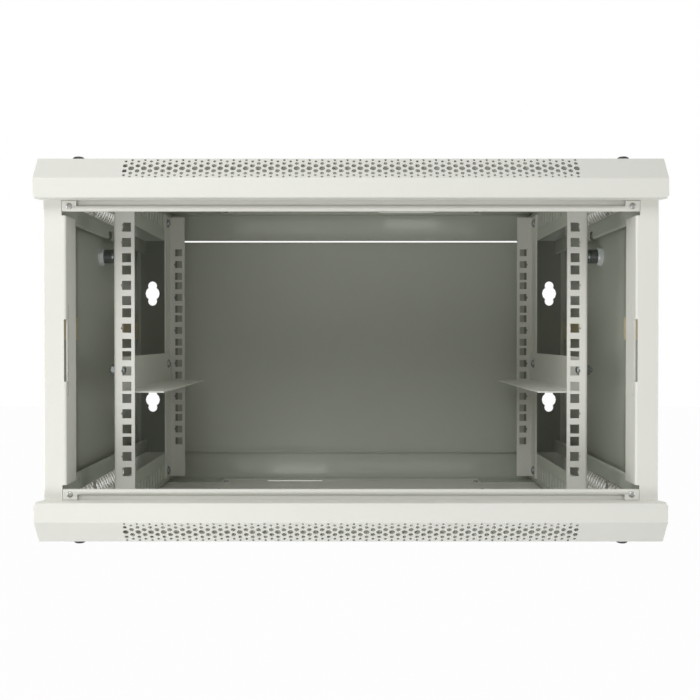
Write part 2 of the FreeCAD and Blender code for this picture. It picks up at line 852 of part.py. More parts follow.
def build():
    """All pieces by node name."""
    cover = top_cover()
    plate = cable_plate()
    screws = cover_screws()
    plate_screws = cable_plate_screws()
    crossbar = front_crossbar()
    strip = rear_strip()
    pieces = {
        "top_cover": cover,
        "bottom_cover": turned_over(cover),
        "cable_plate_top": plate,
        "cable_plate_bottom": turned_over(plate),
        "cover_screws_top": screws,
        "cover_screws_bottom": turned_over(screws),
        "cable_plate_screws_top": plate_screws,
        "cable_plate_screws_bottom": turned_over(plate_screws),
        "front_crossbar_top": crossbar,
        "front_crossbar_bottom": mirror_z(crossbar),
        "rear_strip_top": strip,
        "rear_strip_bottom": mirror_z(strip),
        "rear_panel": rear_panel(),
        "rail_bolts": rail_bolts(),
        "rail_nuts": rail_nuts(),
        "support_bolts": support_bolts(),
        "support_nuts": support_nuts(),
        "frame_rivets": frame_rivets(),
    }
    pieces.update(left_and_right("side_beam_top", side_beam()))
    pieces.update(left_and_right("side_beam_bottom", mirror_z(side_beam())))
    pieces.update(left_and_right("side_rail_top", side_rail(True)))
    pieces.update(left_and_right("side_rail_bottom", mirror_z(side_rail(False))))
    pieces.update(left_and_right("front_upright", front_upright()))
    pieces.update(left_and_right("wall_plate", wall_plate()))
    pieces.update(left_and_right("rack_rail_front", front_rack_rail()))
    pieces.update(left_and_right("rack_rail_rear", rear_rack_rail()))
    pieces.update(left_and_right("support_rail", support_rail()))
    pieces.update(left_and_right("side_panel", side_panel()))
    pieces.update(left_and_right("panel_clips", panel_clips()))
    pieces.update(left_and_right("lock_barrel", lock_barrel()))
    pieces.update(left_and_right("lock_nut", lock_nut()))
    pieces.update(left_and_right("lock_plug", lock_plug()))
    pieces.update(left_and_right("lock_cam", lock_cam()))
    pieces.update(left_and_right("cam_screw", cam_screw()))
    return pieces


def main():
    os.makedirs("parts", exist_ok=True)
    for name, shape in build().items():
        if not shape.isValid():
            print("not valid:", name)
        shape.exportStep("parts/" + name + ".step")
        print(name, len(shape.Solids), round(shape.Volume / 1000, 2))


if __name__ == "__main__":
    main()
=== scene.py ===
import json
import math

import bpy
from bpy.props import FloatProperty, FloatVectorProperty, IntProperty, PointerProperty
from mathutils import Matrix, Vector

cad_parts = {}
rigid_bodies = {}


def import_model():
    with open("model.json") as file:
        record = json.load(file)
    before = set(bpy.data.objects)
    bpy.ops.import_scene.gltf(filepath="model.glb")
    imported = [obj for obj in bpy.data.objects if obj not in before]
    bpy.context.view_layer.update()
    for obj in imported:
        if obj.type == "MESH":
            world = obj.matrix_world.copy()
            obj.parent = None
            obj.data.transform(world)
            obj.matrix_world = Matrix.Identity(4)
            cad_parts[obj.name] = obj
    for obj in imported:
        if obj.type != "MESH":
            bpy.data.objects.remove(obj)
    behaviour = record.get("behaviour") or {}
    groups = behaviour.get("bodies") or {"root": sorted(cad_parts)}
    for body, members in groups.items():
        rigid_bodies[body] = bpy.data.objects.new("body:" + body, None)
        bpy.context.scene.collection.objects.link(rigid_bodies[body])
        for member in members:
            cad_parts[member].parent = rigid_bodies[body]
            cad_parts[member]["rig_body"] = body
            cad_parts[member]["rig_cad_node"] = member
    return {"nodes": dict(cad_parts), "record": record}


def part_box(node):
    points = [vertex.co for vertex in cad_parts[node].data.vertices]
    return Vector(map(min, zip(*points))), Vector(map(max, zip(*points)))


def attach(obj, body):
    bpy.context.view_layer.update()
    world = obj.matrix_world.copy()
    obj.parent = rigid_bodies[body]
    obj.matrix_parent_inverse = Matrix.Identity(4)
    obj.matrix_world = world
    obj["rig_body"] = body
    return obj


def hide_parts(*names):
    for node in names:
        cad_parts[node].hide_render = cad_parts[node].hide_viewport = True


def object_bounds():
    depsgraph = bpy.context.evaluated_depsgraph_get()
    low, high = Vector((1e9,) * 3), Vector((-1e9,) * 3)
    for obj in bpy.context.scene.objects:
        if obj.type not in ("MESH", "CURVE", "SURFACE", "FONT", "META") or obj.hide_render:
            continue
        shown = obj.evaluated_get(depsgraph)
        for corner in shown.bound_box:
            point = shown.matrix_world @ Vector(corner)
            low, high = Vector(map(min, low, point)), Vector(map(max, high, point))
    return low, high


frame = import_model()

bl_info = {
    "name": "Wall cabinet dressing",
    "version": (1, 0, 0),
    "blender": (4, 5, 0),
    "location": "View3D > Sidebar > Cabinet",
    "description": "Vented covers, fasteners, locks, finishes and studio for a wall mount network cabinet",
    "category": "Object",
}

# Box of all solids and of the top cover; the cover's front, lower edge and upper face; its thickness
CAD_LOW, CAD_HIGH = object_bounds()
COVER_LOW, COVER_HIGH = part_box("top_cover")
FRONT = COVER_LOW.y
SKIRT_EDGE = COVER_LOW.z
HALF_HEIGHT = COVER_HIGH.z
SHEET = 0.0012

# Offset from the middle row and diameter of the rows of vents, from the middle row outwards
VENT_ROWS = ((0.0, 0.0058), (0.0035, 0.0047), (0.0067, 0.0038), (0.0095, 0.0028), (0.0114, 0.0025))

# Front lip of the crossbars: its height, how far its edge leans back, and where it ends beside the ears
LIP_HEIGHT = 0.0053
LIP_LEAN = 0.0012
LIP_END = 0.2602

# How near to a place a vertex has to lie to count as there
NEAR = 0.0001

# How far the lower fold of the rear panel reaches up, and the gap that stays under it
REAR_FOLD = 0.004
REAR_GAP = 0.0002

# Share of the radius and of the rise along the dome of a screw head
DOME = ((1.0, 0.34), (0.97, 0.52), (0.87, 0.74), (0.68, 0.90), (0.42, 0.98), (0.0, 1.0))

# Length and width of a cross recess as shares of the radius, its depth and its place as shares of the rise
RECESS_LENGTH = 1.05
RECESS_WIDTH = 0.20
RECESS_DEPTH = 0.62
RECESS_PLACE = 0.16

# Radius and length of the tip of a shank as shares of its radius
TIP_RADIUS = 0.8
TIP_LENGTH = 0.3

# Radius and height of a blind rivet, its seat at height 0 and its head below it
RIVET = ((0, 0.0030), (0.0016, 0.0030), (0.0016, 0), (0.0030, 0), (0.0030, -0.0003), (0.0027, -0.0008),
         (0.0019, -0.0011), (0.0011, -0.0012), (0.0010, -0.0006), (0.0004, -0.0006), (0, -0.0005))
RIVET_SEAT = 0.0012

# Any nut: radius where the chamfer ends as a share, chamfer of the bore, and play of the washer
NUT_RIM = 0.96
BORE_CHAMFER = 0.0005
WASHER_PLAY = 0.0002

# Bolts of the rails and the supports, and their nuts
BOLT_HEAD_HEIGHT = 0.0032
BOLT_HEAD_RADIUS = 0.0050
BOLT_WASHER_RADIUS = 0.0058
BOLT_WASHER = 0.0009
BOLT_RADIUS = 0.0029
NUT_FLATS = 0.0105
NUT_BORE = 0.0030
NUT_WASHER_RADIUS = 0.0064
NUT_WASHER = 0.0012
SUPPORT_NUT_HEIGHT = 0.0080

# Screws of the covers and the cable plates
COVER_HEAD_RADIUS = 0.0058
COVER_HEAD_DROP = 0.0007
COVER_SHANK_RADIUS = 0.0030
COVER_SHANK = 0.0100
PLATE_HEAD_RADIUS = 0.0032

# Radius and height along the head of a lock barrel, one turn of its thread, and its inner end
LOCK_HEAD = 0.0020
BARREL_HEAD = ((0.00625, 0.0), (0.0096, 0.0), (0.0104, 0.0006), (0.0105, LOCK_HEAD), (0.0081, LOCK_HEAD))
THREAD_TURN = ((0.0082, 0.0), (0.0082, 0.0004), (0.00805, 0.00055))
BARREL_END = ((0.0077, -0.0005), (0.0073, 0.0), (0.00625, 0.0))

# Pitch of the thread, and how far it stays from the head and from the inner end
THREAD_PITCH = 0.00075
THREAD_START = 0.0008
THREAD_END = 0.0012

# Nut and washer of a lock
LOCK_NUT_FLATS = 0.0200
LOCK_NUT_BORE = 0.0083
LOCK_WASHER_RADIUS = 0.0112
LOCK_WASHER = 0.0010

# Faces of inner pieces beyond these distances to the side and to the rear have the covers' colour; faces
# within keep the darker inner colour, partly painted shade
OUTSIDE_X = 0.2958
OUTSIDE_Y = -0.0004

# Finish of each slot, and the pieces that are painted otherwise; the wall plates' darker coat is painted
# shade
SLOT_FINISHES = {
    "cover_paint": "cover_powder_coat", "inner_paint": "inner_coat_and_painted_shade",
    "zinc_plate": "zinc_plated_steel", "lock_chrome": "lock_chrome",
    "lock_nut_metal": "nut_plating_painted_highlight", "clip_metal": "yellow_passivated_spring",
}
NODE_FINISHES = {
    "wall_plate_left": "wall_plate_painted_shade_coat", "wall_plate_right": "wall_plate_painted_shade_coat",
    "rack_rail_front_left": "cover_powder_coat", "rack_rail_front_right": "cover_powder_coat",
    "rack_rail_rear_left": "cover_powder_coat", "rack_rail_rear_right": "cover_powder_coat",
    "support_rail_left": "cover_powder_coat", "support_rail_right": "cover_powder_coat",
}


class CoverSizes(bpy.types.PropertyGroup):
    """Sizes of the vents in the covers"""

    face_height: FloatProperty(
        name="Face height", description="Height of the upright front face below the chamfer",
        default=0.0188, min=0.005, unit="LENGTH")
    chamfer_depth: FloatProperty(
        name="Chamfer depth", description="How far the chamfer leans back",
        default=0.0165, min=0.005, unit="LENGTH")
    pitch: FloatProperty(
        name="Vent pitch", description="Distance between vents of one row",
        default=0.0121, min=0.004, unit="LENGTH")
    columns: IntProperty(
        name="Vents a row", description="Number of vents in a row of the chamfer", default=36, min=1)
    skirt_columns: IntProperty(
        name="Skirt vents a row", description="Number of vents in a row of one skirt group",
        default=12, min=1)
    skirt_group: FloatProperty(
        name="Skirt group offset",
        description="Middle of a skirt group before and behind the middle of the depth",
        default=0.0786, min=0.02, unit="LENGTH")
    skirt_scale: FloatProperty(
        name="Skirt vent scale", description="Size of the skirt vents against those of the chamfer",
        default=1.2, min=0.1)
    vent_sides: IntProperty(
        name="Vent sides", description="Corners that make up a round vent", default=14, min=6)


class FinishColours(bpy.types.PropertyGroup):
    """Colours of the finishes"""

    cover: FloatVectorProperty(
        name="Covers", description="Powder coat of the covers, the front frame and all outer faces",
        subtype="COLOR", size=3, min=0, max=1, default=(0.79, 0.79, 0.735))
    # The inner colour is darker than the covers' coat partly as painted shade of the cabinet's inside
    inner: FloatVectorProperty(
        name="Inside", description="Powder coat of the inner pieces",
        subtype="COLOR", size=3, min=0, max=1, default=(0.545, 0.57, 0.505))
    # The wall plates' coat is the inner colour darkened by this share, as painted shade of the deep rear
    # corners
    wall_plate_painted_shade: FloatProperty(
        name="Wall plate shade", description="Brightness of the wall plates against the inner pieces",
        subtype="FACTOR", min=0, max=1, default=0.58)
    zinc: FloatVectorProperty(
        name="Zinc", description="Plating of bolts and nuts",
        subtype="COLOR", size=3, min=0, max=1, default=(0.50, 0.52, 0.52))
    chrome: FloatVectorProperty(
        name="Chrome", description="Plating of the locks",
        subtype="COLOR", size=3, min=0, max=1, default=(0.44, 0.46, 0.47))
    spring: FloatVectorProperty(
        name="Springs", description="Passivated plating of the side panel springs",
        subtype="COLOR", size=3, min=0, max=1, default=(0.80, 0.68, 0.45))


class StudioSizes(bpy.types.PropertyGroup):
    """Camera and light of the studio"""

    camera_distance: FloatProperty(
        name="Camera distance", description="From the front of the covers to the camera",
        default=0.96, unit="LENGTH")
    camera_height: FloatProperty(
        name="Camera height", description="Above the middle of the cabinet", default=0.012, unit="LENGTH")
    lens: FloatProperty(
        name="Lens", description="Focal length for a 36 mm sensor", default=52.3, unit="CAMERA")
    pitch: FloatProperty(
        name="Camera pitch", description="How far the camera looks down",
        default=math.radians(0.676), subtype="ANGLE", unit="ROTATION")
    yaw: FloatProperty(
        name="Camera yaw", description="How far the camera looks to the left",
        default=math.radians(0.045), subtype="ANGLE", unit="ROTATION")
    floor_drop: FloatProperty(
        name="Floor drop", description="From the lower cover screws to the floor", default=0.9, unit="LENGTH")
    floor_white: FloatProperty(
        name="Floor white", description="Share of white in the floor where it is seen directly",
        subtype="FACTOR", min=0, max=1, default=0.975)
    lamp_size: FloatProperty(
        name="Lamp size", description="Side of each square lamp", default=0.8, unit="LENGTH")
    lamp_side: FloatProperty(
        name="Lamp side", description="How far the front lamps stand to the right",
        default=-0.38, unit="LENGTH")
    lamp_distance: FloatProperty(
        name="Lamp distance", description="From the front of the covers to the front lamps",
        default=1.0, unit="LENGTH")
    lamp_height: FloatProperty(
        name="Lamp height", description="Of the upper lamp above and the lower lamp below the middle",
        default=0.9, unit="LENGTH")
    upper_power: FloatProperty(
        name="Upper lamp power", description="Power of the upper front lamp", default=8.5, unit="POWER")
    lower_power: FloatProperty(
        name="Lower lamp power", description="Power of the lower front lamp", default=7.3, unit="POWER")
    side_distance: FloatProperty(
        name="Side lamp distance", description="From the middle to each side lamp",
        default=1.35, unit="LENGTH")
    side_advance: FloatProperty(
        name="Side lamp advance", description="How far the side lamps stand before the covers",
        default=0.06, unit="LENGTH")
    left_power: FloatProperty(
        name="Left lamp power", description="Power of the left side lamp", default=8.0, unit="POWER")
    right_power: FloatProperty(
        name="Right lamp power", description="Power of the right side lamp", default=5.2, unit="POWER")
    sky: FloatProperty(
        name="Sky", description="Strength of the even light from all round", default=0.38, min=0)


# Selection, primitives and transforms

def check(passed, message):
    """Stop the script where a step can't be finished."""
    if not passed:
        raise RuntimeError(message)


def deselect():
    """Leave object mode with nothing selected."""
    if bpy.context.mode != "OBJECT":
        bpy.ops.object.mode_set(mode="OBJECT")
    bpy.ops.object.select_all(action="DESELECT")


def select(*objects):
    """Select these objects only and make the first one active."""
    deselect()
    for item in objects:
        item.select_set(True)
    bpy.context.view_layer.objects.active = objects[0]


def added(name):
    """Name the object that an operator has just added."""
    item = bpy.context.active_object
    item.name = name
    item.data.name = name
    return item


def apply_place(item):
    """Move the object's place into its mesh."""
    select(item)
    bpy.ops.object.transform_apply(location=True, rotation=True, scale=True)


def copied(item, name, matrix):
    """Copy with its own mesh, moved by a matrix that is applied to the mesh."""
    twin = item.copy()
    twin.data = item.data.copy()
    twin.name = name
    twin.data.name = name
    bpy.context.scene.collection.objects.link(twin)
    twin.matrix_world = matrix @ item.matrix_world
    apply_place(twin)
    return twin


def remove(*objects):
    """Delete helper objects."""
    select(*objects)
    bpy.ops.object.delete()


def joined(name, objects):
    """Join objects into one."""
    select(*objects)
    if len(objects) > 1:
        bpy.ops.object.join()
    return added(name)


def edit_all(item):
    """Open an object in edit mode with all of it selected."""
    select(item)
    bpy.ops.object.mode_set(mode="EDIT")
    bpy.ops.mesh.select_all(action="SELECT")


def close_edit():
    """Return to object mode."""
    bpy.ops.object.mode_set(mode="OBJECT")


def edit_where(item, test):
    """Open an object in edit mode with the vertices selected whose place passes a test."""
    edit_all(item)
    bpy.ops.mesh.select_mode(type="VERT")
    bpy.ops.mesh.select_all(action="DESELECT")
    close_edit()
    for vertex in item.data.vertices:
        vertex.select = test(vertex.co)
    check(any(vertex.select for vertex in item.data.vertices), "no vertices to move in " + item.name)
    bpy.ops.object.mode_set(mode="EDIT")


def merged(item, distance=1e-6):
    """Merge doubles, drop faces without area and turn all faces outwards."""
    edit_all(item)
    bpy.ops.mesh.remove_doubles(threshold=distance)
    bpy.ops.mesh.dissolve_degenerate(threshold=distance)
    bpy.ops.mesh.normals_make_consistent(inside=False)
    close_edit()
    return item


def smooth(item, degrees=32):
    """Shade smooth up to an angle, with large flat faces kept flat."""
    select(item)
    bpy.ops.object.shade_smooth_by_angle(angle=math.radians(degrees))
    weigh = item.modifiers.new("weigh", "WEIGHTED_NORMAL")
    weigh.keep_sharp = True
    bpy.ops.object.modifier_apply(modifier=weigh.name)
    return item


def combine(item, other, operation):
    """Apply a boolean with another object and remove that object."""
    modifier = item.modifiers.new("combine", "BOOLEAN")
    modifier.operation = operation
    modifier.solver = "EXACT"
    modifier.object = other
    select(item)
    bpy.ops.object.modifier_apply(modifier=modifier.name)
    remove(other)
    check(len(item.data.polygons) > 0, "nothing is left of " + item.name)
    return item


def spun(name, profile, steps=32):
    """Body of revolution about Z from a closed profile of (radius, height)."""
    deselect()
    bpy.ops.mesh.primitive_circle_add(vertices=len(profile), radius=1)
    item = added(name)
    for vertex, (radius, height) in zip(item.data.vertices, profile):
        vertex.co = (radius, 0, height)
    edit_all(item)
    bpy.ops.mesh.spin(steps=steps, angle=math.tau, center=(0, 0, 0), axis=(0, 0, 1))
    bpy.ops.mesh.select_all(action="SELECT")
    bpy.ops.mesh.remove_doubles(threshold=1e-7)
    bpy.ops.mesh.dissolve_degenerate(threshold=1e-8)
    bpy.ops.mesh.normals_make_consistent(inside=False)
    close_edit()
    return item


def turned_to(direction):
    """Rotation that turns +Z to a direction."""
    return Vector(direction).to_track_quat("Z", "Y").to_matrix().to_4x4()


def cad_copy(node, name):
    """Merged copy of a CAD node, free of its body and its marks, as the start of a new piece."""
    item = copied(frame["nodes"][node], name, Matrix.Identity(4))
    world = item.matrix_world.copy()
    item.parent = None
    item.matrix_world = world
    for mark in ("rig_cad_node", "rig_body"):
        if mark in item:
            del item[mark]
    return merged(item)


def solid_boxes(node):
    """Lowest and highest corner of each separate solid of a CAD node."""
    helper = cad_copy(node, "helper")
    edit_all(helper)
    bpy.ops.mesh.separate(type="LOOSE")
    close_edit()
    solids = list(bpy.context.selected_objects)
    boxes = []
    for solid in solids:
        xs, ys, zs = zip(*[vertex.co for vertex in solid.data.vertices])
        boxes.append((Vector((min(xs), min(ys), min(zs))), Vector((max(xs), max(ys), max(zs)))))
    remove(*solids)
    return sorted(boxes, key=lambda box: tuple(round(v, 4) for v in box[0]))


def seats(boxes, seat, turn=0.0, step=0.0):
    """Point, direction and turn of a copy in each box; seat gives point and direction."""
    places = []
    for index, (low, high) in enumerate(boxes):
        point, direction = seat(low, high, (low + high) / 2)
        places.append((Vector(point), direction, turn + index * step))
    return places


def put_copies(name, template, places):
    """Copies of a template at (point, direction, turn) places, joined into one piece."""
    copies = []
    for point, direction, turn in places:
        matrix = Matrix.Translation(point) @ turned_to(direction) @ Matrix.Rotation(turn, 4, "Z")
        copies.append(copied(template, name, matrix))
    remove(template)
    return joined(name, copies)


def dressed(item, material, body, slot, *nodes):
    """Give a finished piece its material and its body, and hide the nodes that it stands for; slot is not
    used.
    """
    item.data.materials.clear()
    item.data.materials.append(bpy.data.materials[material])
    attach(item, body)
    if nodes:
        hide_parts(*nodes)
    return item


# Shader groups and materials

def new_group(name, inputs, outputs):
    """Shader node group with named sockets."""
    group = bpy.data.node_groups.new(name, "ShaderNodeTree")
    for label, kind, value in inputs:
        socket = group.interface.new_socket(name=label, in_out="INPUT", socket_type=kind)
        socket.default_value = value
    for label, kind in outputs:
        group.interface.new_socket(name=label, in_out="OUTPUT", socket_type=kind)
    return group


def add_node(tree, kind, **values):
    """Node with its options and unlinked inputs set."""
    node = tree.nodes.new(kind)
    for key, value in values.items():
        if key.startswith("in_"):
            node.inputs[key[3:].replace("_", " ")].default_value = value
        else:
            setattr(node, key, value)
    return node


def noise(tree, vector, scale, detail=3.0, roughness=0.5):
    """Noise texture read at a point of the object."""
    node = add_node(tree, "ShaderNodeTexNoise", in_Scale=scale, in_Detail=detail, in_Roughness=roughness)
    tree.links.new(vector, node.inputs["Vector"])
    return node.outputs["Fac"]


def remap(tree, value, low, high, to_low=0.0, to_high=1.0):
    """Clamped map of a value to another range."""
    node = add_node(tree, "ShaderNodeMapRange", in_From_Min=low, in_From_Max=high, in_To_Min=to_low,
                    in_To_Max=to_high)
    tree.links.new(value, node.inputs["Value"])
    return node.outputs["Result"]


def math_node(tree, operation, first, second=0.0):
    """Arithmetic on two sockets or numbers."""
    node = add_node(tree, "ShaderNodeMath", operation=operation)
    for socket, value in zip(node.inputs, (first, second)):
        if isinstance(value, (int, float)):
            socket.default_value = value
        else:
            tree.links.new(value, socket)
    return node.outputs[0]


def mix_colour(tree, factor, first, second):
    """Mix of two colours by a factor."""
    node = add_node(tree, "ShaderNodeMix", data_type="RGBA")
    for socket, value in ((node.inputs[0], factor), (node.inputs[6], first), (node.inputs[7], second)):
        if hasattr(value, "links"):
            tree.links.new(value, socket)
        else:
            socket.default_value = value
    return node.outputs[2]


def finish_group(name, inputs):
    """Group of a finish, its input node, its object coordinates and a function that links its outputs."""
    group = new_group(name, inputs, [("Colour", "NodeSocketColor"), ("Roughness", "NodeSocketFloat"),
                                     ("Height", "NodeSocketFloat")])
    inside = group.nodes.new("NodeGroupInput")
    outside = group.nodes.new("NodeGroupOutput")
    place = group.nodes.new("ShaderNodeTexCoord").outputs["Object"]

    def close(colour, roughness, height):
        for label, value in (("Colour", colour), ("Roughness", roughness), ("Height", height)):
            group.links.new(value, outside.inputs[label])

    return group, inside, place, close


def coat_group():
    """Powder coat: orange peel, faint mottling, dust on what faces up, and another colour on outer faces, so
    that a darker colour inside can stand as painted shade.
    """
    group, inside, place, close = finish_group(
        "powder_coat",
        [("Colour", "NodeSocketColor", (0.8, 0.8, 0.75, 1)), ("Peel Size", "NodeSocketFloat", 900.0),
         ("Mottle", "NodeSocketFloat", 0.03), ("Dust", "NodeSocketFloat", 0.12),
         ("Roughness", "NodeSocketFloat", 0.42), ("Outside Colour", "NodeSocketColor", (0.8, 0.8, 0.75, 1)),
         ("Outside X", "NodeSocketFloat", 1.0), ("Outside Y", "NodeSocketFloat", 1.0)])
    point = group.nodes.new("ShaderNodeSeparateXYZ")
    group.links.new(place, point.inputs[0])
    width = math_node(group, "ABSOLUTE", point.outputs["X"])
    beside = math_node(group, "GREATER_THAN", width, inside.outputs["Outside X"])
    behind = math_node(group, "GREATER_THAN", point.outputs["Y"], inside.outputs["Outside Y"])
    # Outer faces take the covers' colour; inner faces keep the darker colour, partly painted shade
    coat = mix_colour(group, math_node(group, "MAXIMUM", beside, behind), inside.outputs["Colour"],
                      inside.outputs["Outside Colour"])
    peel = add_node(group, "ShaderNodeTexNoise", in_Detail=2.0, in_Roughness=0.45)
    group.links.new(place, peel.inputs["Vector"])
    group.links.new(inside.outputs["Peel Size"], peel.inputs["Scale"])
    fine = noise(group, place, 5200.0, 1.0)
    height = math_node(group, "ADD", peel.outputs["Fac"], math_node(group, "MULTIPLY", fine, 0.25))
    cloud = remap(group, noise(group, place, 5.0, 4.0), 0.3, 0.7, -1.0, 1.0)
    shade = math_node(group, "ADD", math_node(group, "MULTIPLY", cloud, inside.outputs["Mottle"]), 1.0)
    tone = add_node(group, "ShaderNodeHueSaturation")
    group.links.new(shade, tone.inputs["Value"])
    group.links.new(coat, tone.inputs["Color"])
    facing = add_node(group, "ShaderNodeSeparateXYZ")
    group.links.new(group.nodes.new("ShaderNodeNewGeometry").outputs["Normal"], facing.inputs[0])
    up = remap(group, facing.outputs["Z"], 0.4, 1.0)
    specks = remap(group, noise(group, place, 260.0, 5.0, 0.7), 0.42, 0.66)
    dust = math_node(group, "MULTIPLY", math_node(group, "MULTIPLY", up, specks), inside.outputs["Dust"])
    colour = mix_colour(group, dust, tone.outputs["Color"], (0.47, 0.45, 0.40, 1))
    rough = math_node(group, "ADD", inside.outputs["Roughness"],
                      math_node(group, "ADD", math_node(group, "MULTIPLY", cloud, 0.03),
                                math_node(group, "MULTIPLY", dust, 1.2)))
    close(colour, rough, height)


def plating_group():
    """Plated metal: crystal mottling, fine brushing and dark spots."""
    group, inside, place, close = finish_group(
        "plating",
        [("Colour", "NodeSocketColor", (0.5, 0.5, 0.5, 1)), ("Tint", "NodeSocketColor", (0.4, 0.42, 0.45, 1)),
         ("Spangle Size", "NodeSocketFloat", 700.0), ("Roughness", "NodeSocketFloat", 0.35),
         ("Spots", "NodeSocketFloat", 0.3)])
    cells = add_node(group, "ShaderNodeTexVoronoi")
    group.links.new(place, cells.inputs["Vector"])
    group.links.new(inside.outputs["Spangle Size"], cells.inputs["Scale"])
    grey = add_node(group, "ShaderNodeRGBToBW")
    group.links.new(cells.outputs["Color"], grey.inputs[0])
    crystal = remap(group, grey.outputs[0], 0.1, 0.9)
    scratch = noise(group, place, 2600.0, 3.0)
    dark = remap(group, noise(group, place, 340.0, 4.0, 0.65), 0.56, 0.72)
    tinted = mix_colour(group, crystal, inside.outputs["Colour"], inside.outputs["Tint"])
    colour = mix_colour(group, math_node(group, "MULTIPLY", dark, inside.outputs["Spots"]), tinted,
                        (0.12, 0.12, 0.11, 1))
    rough = math_node(group, "ADD", inside.outputs["Roughness"],
                      math_node(group, "ADD", math_node(group, "MULTIPLY", crystal, 0.08),
                                math_node(group, "MULTIPLY", dark, 0.15)))
    close(colour, rough, scratch)


def finish(name, group, values, metallic, bump_strength, bump_distance, coat=0.0):
    """Principled material fed by one of the groups."""
    material = bpy.data.materials.new(name)
    material.use_nodes = True
    tree = material.node_tree
    shader = tree.nodes["Principled BSDF"]
    node = tree.nodes.new("ShaderNodeGroup")
    node.node_tree = bpy.data.node_groups[group]
    for label, value in values.items():
        node.inputs[label].default_value = value
    bump = add_node(tree, "ShaderNodeBump", in_Strength=bump_strength, in_Distance=bump_distance)
    tree.links.new(node.outputs["Height"], bump.inputs["Height"])
    tree.links.new(bump.outputs["Normal"], shader.inputs["Normal"])
    tree.links.new(node.outputs["Colour"], shader.inputs["Base Color"])
    tree.links.new(node.outputs["Roughness"], shader.inputs["Roughness"])
    shader.inputs["Metallic"].default_value = metallic
    shader.inputs["Coat Weight"].default_value = coat
    material.diffuse_color = values["Colour"]


def powder_coat(name, colour, peel, mottle, dust, roughness, outside=()):
    """Powder coat finish; outside gives the colour and the limits of the outer faces."""
    values = {"Colour": (*colour, 1), "Peel Size": peel, "Mottle": mottle, "Dust": dust,
              "Roughness": roughness}
    values.update(outside)
    finish(name, "powder_coat", values, 0.0, 0.25, 0.0004)


def plating(name, colour, tint, spangle, roughness, spots, metallic, bump, coat=0.0):
    """Plated finish."""
    values = {"Colour": (*colour, 1), "Tint": (*tint, 1), "Spangle Size": spangle, "Roughness": roughness,
              "Spots": spots}
    finish(name, "plating", values, metallic, bump, 0.0001, coat)


class CABINET_OT_materials(bpy.types.Operator):
    """Make the shader groups and the finishes"""

    bl_idname = "cabinet.materials"
    bl_label = "Make finishes"
    bl_options = {"REGISTER", "UNDO"}

    def execute(self, context):
        tones = context.scene.cabinet_colours
        coat_group()
        plating_group()
        outer = {"Outside Colour": (*tones.cover, 1), "Outside X": OUTSIDE_X, "Outside Y": OUTSIDE_Y}
        # The wall plates get the inner colour darkened as painted shade; their outer faces keep the covers'
        # colour
        painted_shade_tones = [tone * tones.wall_plate_painted_shade for tone in tones.inner]
        # name, colour, peel size, mottle, dust, roughness, outer faces
        powder_coat("cover_powder_coat", tones.cover, 900.0, 0.012, 0.05, 0.42)
        powder_coat("inner_coat_and_painted_shade", tones.inner, 820.0, 0.02, 0.10, 0.46, outer)
        powder_coat("wall_plate_painted_shade_coat", painted_shade_tones, 820.0, 0.03, 0.15, 0.55, outer)
        # name, colour, tint, spangle size, roughness, spots, metallic, bump, coat
        plating("rivet_aluminium", (0.40, 0.40, 0.38), (0.32, 0.32, 0.31), 900.0, 0.26, 0.25, 1.0, 0.1)
        # Darker copy of the lock chrome for the threads: painted shade of their grooves and painted dark
        # reflection
        plating("lock_thread_painted_shade", (0.22, 0.23, 0.23), (0.30, 0.32, 0.33), 500.0, 0.12, 0.1, 1.0, 0.05)
        plating("zinc_plated_steel", tones.zinc, (0.36, 0.40, 0.41), 900.0, 0.14, 0.35, 1.0, 0.12)
        plating("lock_chrome", tones.chrome, (0.36, 0.39, 0.41), 300.0, 0.14, 0.15, 1.0, 0.04)
        # Near-white, barely metallic plating for the lock nuts: painted highlight in place of a chrome
        # reflection
        plating("nut_plating_painted_highlight", (0.92, 0.96, 0.97), (0.85, 0.90, 0.92), 600.0, 0.26, 0.08, 0.15, 0.06,
                0.6)
        plating("yellow_passivated_spring", tones.spring, (0.84, 0.74, 0.56), 420.0, 0.45, 0.1, 0.35, 0.1)
        plating("blackened_screw", (0.035, 0.035, 0.035), (0.07, 0.07, 0.075), 500.0, 0.28, 0.1, 0.6, 0.06)
        return {"FINISHED"}


class CABINET_OT_carried_nodes(bpy.types.Operator):
    """Give the sheet metal its powder coat, darker inside partly as painted shade, and the springs their
    plating
    """

    bl_idname = "cabinet.carried_nodes"
    bl_label = "Finish the sheet metal"
    bl_options = {"REGISTER", "UNDO"}

    def execute(self, context):
        for piece in frame["record"]["subparts"]:
            node = piece["node"]
            check(node in frame["nodes"], "the frame has no " + node)
            material = bpy.data.materials[NODE_FINISHES.get(node, SLOT_FINISHES[piece["material_slot"]])]
            for place in frame["nodes"][node].material_slots:
                place.material = material
        return {"FINISHED"}


def vent_row(sizes, radius, centre, direction, along, columns, length):
    """Row of cylinders that cut one row of vents."""
    start = Vector(centre) - Vector(along) * (sizes.pitch * (columns - 1) / 2)
    deselect()
    bpy.ops.mesh.primitive_cylinder_add(vertices=sizes.vent_sides, radius=radius, depth=length)
    item = added("cutter")
    item.matrix_world = Matrix.Translation(start) @ turned_to(direction)
    apply_place(item)
    repeat = item.modifiers.new("repeat", "ARRAY")
    repeat.count = columns
    repeat.use_relative_offset = False
    repeat.use_constant_offset = True
    repeat.constant_offset_displace = Vector(along) * sizes.pitch
    select(item)
    bpy.ops.object.modifier_apply(modifier=repeat.name)
    return item


